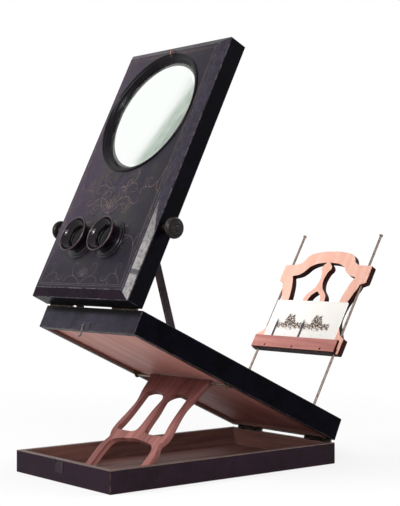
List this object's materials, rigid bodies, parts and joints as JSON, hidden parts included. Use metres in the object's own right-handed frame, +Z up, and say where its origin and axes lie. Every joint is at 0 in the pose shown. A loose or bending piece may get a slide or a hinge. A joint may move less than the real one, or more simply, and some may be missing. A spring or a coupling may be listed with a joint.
{
  "type": "folding table stereoscope",
  "caption": "Folding stereoscope: shallow hinged boxes, a lens panel with a large lens and focusing eyepieces, and a fretwork picture holder sliding on rods above a propped table",
  "frame": {"origin": "centre of the base tray's underside", "axes": "+X to the viewer's right, +Y to the rear, +Z up, as the stereoscope stands open on a table"},
  "size_m": [0.3174, 0.6055, 0.6809],
  "materials": {
    "ebonised": "ebonised, satin polish",
    "mahogany": "waxed",
    "light_wood": "polished",
    "brass": "aged",
    "steel": "dull",
    "clear_glass": "polished",
    "card": "matt",
    "rim_wood": "polished"
  },
  "bodies": {
    "base": {"base_front": "ebonised", "base_rear": "ebonised", "base_left": "ebonised", "base_right": "ebonised", "base_floor": "mahogany", "latch_keeper": "brass", "rear_hinge_fixed": "brass", "rear_hinge_pins": "steel"},
    "table": {"table_front": "ebonised", "table_rear": "ebonised", "table_left": "ebonised", "table_right": "ebonised", "table_floor": "mahogany", "rear_hinge_moving": "brass", "front_hinge_fixed": "brass", "front_hinge_pins": "steel", "prop_rod": "steel", "prop_plates": "brass", "prop_plate_screws": "brass", "latch_plate": "ebonised", "latch_pivot": "brass", "stay_pins": "brass"},
    "prop": {"prop": "mahogany"},
    "hook": {"latch_hook": "brass"},
    "left_stay": {"stay_left": "ebonised"},
    "right_stay": {"stay_right": "ebonised"},
    "rod_frame": {"rod_crossbar": "mahogany", "crossbar_pins": "steel", "rods": "steel", "rod_caps": "steel"},
    "holder": {"holder_back": "light_wood", "holder_ledge": "light_wood", "ledge_screws": "brass", "stereo_card": "card"},
    "lens_panel": {"panel_bottom": "ebonised", "panel_top": "ebonised", "panel_left": "ebonised", "panel_right": "ebonised", "panel_board": "ebonised", "front_hinge_moving": "brass", "top_catch": "brass", "lens_ring": "ebonised", "large_lens": "clear_glass", "lens_retainer": "ebonised", "lens_wire_hook": "brass", "eye_flanges": "ebonised", "shaft_bushes": "brass", "stay_stops": "mahogany"},
    "eyepieces": {"eye_tubes": "ebonised", "eye_rims": "rim_wood", "eye_lenses": "clear_glass", "eye_retainers": "brass", "focus_carrier": "mahogany", "focus_racks": "brass"},
    "focus_drive": {"focus_shaft": "steel", "focus_pinions": "brass", "focus_knobs": "ebonised"}
  },
  "joints": [
    {"name": "table_tilt", "type": "hinge", "parent": "base", "child": "table", "pos_m": [0, 0.2281, 0.0357], "axis": [1, 0, 0], "range_deg": [0, 25.04]},
    {"name": "panel_fold", "type": "hinge", "parent": "table", "child": "lens_panel", "pos_m": [0, -0.16852, 0.26367], "axis": [-1, 0, 0], "range_deg": [0, 25]},
    {"name": "prop_fold", "type": "hinge", "parent": "table", "child": "prop", "pos_m": [0, 0.00404, 0.14203], "axis": [-1, 0, 0], "range_deg": [0, 70.54]},
    {"name": "right_stay_fold", "type": "hinge", "parent": "table", "child": "right_stay", "pos_m": [0, -0.10097, 0.21854], "axis": [-1, 0, 0], "range_deg": [0, 131.1]},
    {"name": "left_stay_fold", "type": "hinge", "parent": "table", "child": "left_stay", "pos_m": [0, -0.10097, 0.21854], "axis": [-1, 0, 0], "range_deg": [0, 131.1]},
    {"name": "rod_fold", "type": "hinge", "parent": "table", "child": "rod_frame", "pos_m": [0, 0.19936, 0.07672], "axis": [1, 0, 0], "range_deg": [0, 94.76]},
    {"name": "holder_slide", "type": "slide", "parent": "rod_frame", "child": "holder", "axis": [0, 0.497, 0.8678], "range_m": [-0.09, 0.06]},
    {"name": "focus_slide", "type": "slide", "parent": "lens_panel", "child": "eyepieces", "axis": [0, -0.8965, 0.4431], "range_m": [-0.0045, 0.0045]},
    {"name": "focus_turn", "type": "hinge", "parent": "lens_panel", "child": "focus_drive", "pos_m": [0, -0.12717, 0.38379], "axis": [1, 0, 0], "range_deg": [-42.98, 42.98]},
    {"name": "hook_swing", "type": "hinge", "parent": "table", "child": "hook", "pos_m": [-0.004, -0.18229, 0.23625], "axis": [0, -0.906, 0.4233], "range_deg": [-35, 0]}
  ],
  "couplings": [
    {"joint": "prop_fold", "follows": "table_tilt", "ratio": 2.8171},
    {"joint": "right_stay_fold", "follows": "panel_fold", "ratio": 5.244},
    {"joint": "left_stay_fold", "follows": "panel_fold", "ratio": 5.244},
    {"joint": "focus_turn", "follows": "focus_slide", "rad_per_m": -166.67}
  ]
}
